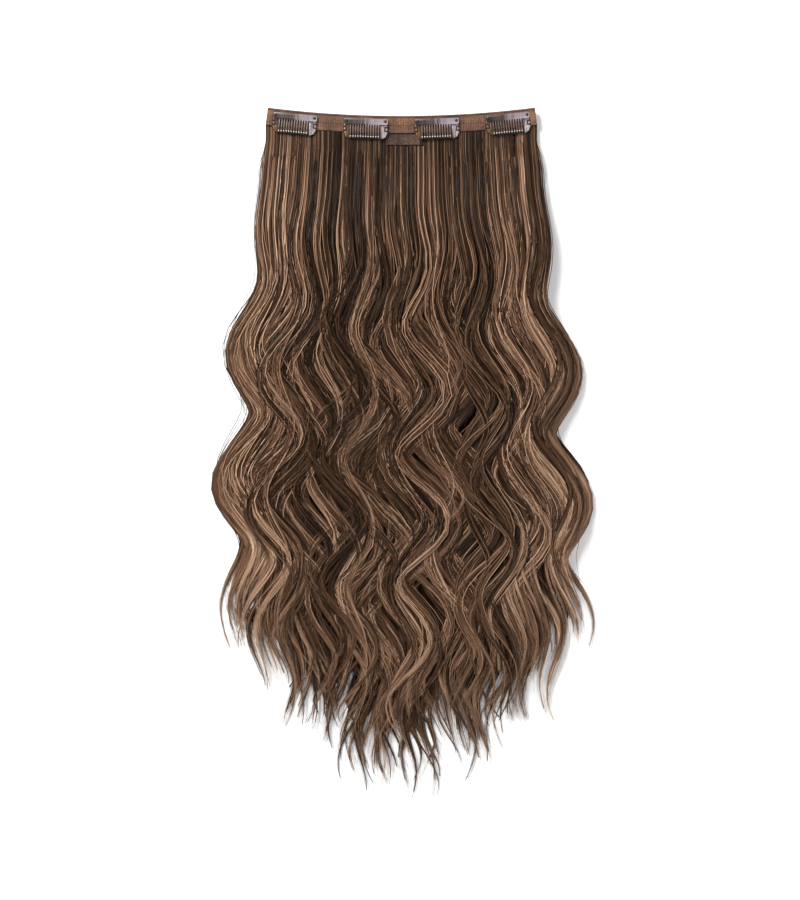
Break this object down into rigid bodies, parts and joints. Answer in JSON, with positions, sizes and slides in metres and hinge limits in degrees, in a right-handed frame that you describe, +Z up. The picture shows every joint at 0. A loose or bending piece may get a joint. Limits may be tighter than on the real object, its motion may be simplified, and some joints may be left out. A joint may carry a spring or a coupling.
{
  "type": "clip in hair extension",
  "caption": "Long wavy hair extension on a curved sewn tape with riveted snap clips that grip the wearer's own hair.",
  "frame": {"origin": "middle of the lower weft head's flat underside, which lies on the surface", "axes": "+X along the tape, +Y from the hair's tips towards the tape, +Z up from the surface, towards the clips"},
  "size_m": [0.2846, 0.5104, 0.0164],
  "materials": {
    "hair": "satin strands",
    "tape": "ribbed weave",
    "binding": "rolled edge",
    "clip_steel": "dark brown lacquer",
    "clip_lacquer": "amber brown lacquer",
    "sleeve": "soft, dark"
  },
  "bodies": {
    "weft": {"weft_lower": "hair", "weft_upper": "hair", "tape": "tape", "end_fold_left": "tape", "end_fold_right": "tape", "top_binding": "binding", "clip_1_frame": "clip_lacquer", "clip_1_sleeve": "sleeve", "clip_2_frame": "clip_lacquer", "clip_2_sleeve": "sleeve", "clip_3_frame": "clip_lacquer", "clip_3_sleeve": "sleeve", "clip_4_frame": "clip_lacquer", "clip_4_sleeve": "sleeve"},
    "clip_1": {"clip_1_comb": "clip_steel", "clip_1_rivet_left": "clip_steel", "clip_1_rivet_right": "clip_steel"},
    "clip_2": {"clip_2_comb": "clip_steel", "clip_2_rivet_left": "clip_steel", "clip_2_rivet_right": "clip_steel"},
    "clip_3": {"clip_3_comb": "clip_steel", "clip_3_rivet_left": "clip_steel", "clip_3_rivet_right": "clip_steel"},
    "clip_4": {"clip_4_comb": "clip_steel", "clip_4_rivet_left": "clip_steel", "clip_4_rivet_right": "clip_steel"}
  },
  "joints": [
    {"name": "clip_1_snap", "type": "hinge", "parent": "weft", "child": "clip_1", "pos_m": [-0.07916, 0.01327, 0.00645], "axis": [-0.9952, 0.0976, 0], "range_deg": [0, 40]},
    {"name": "clip_2_snap", "type": "hinge", "parent": "weft", "child": "clip_2", "pos_m": [-0.02642, 0.00983, 0.00645], "axis": [-0.9995, 0.0326, 0], "range_deg": [0, 40]},
    {"name": "clip_3_snap", "type": "hinge", "parent": "weft", "child": "clip_3", "pos_m": [0.02642, 0.00983, 0.00645], "axis": [-0.9995, -0.0326, 0], "range_deg": [0, 40]},
    {"name": "clip_4_snap", "type": "hinge", "parent": "weft", "child": "clip_4", "pos_m": [0.07916, 0.01327, 0.00645], "axis": [-0.9952, -0.0976, 0], "range_deg": [0, 40]}
  ]
}
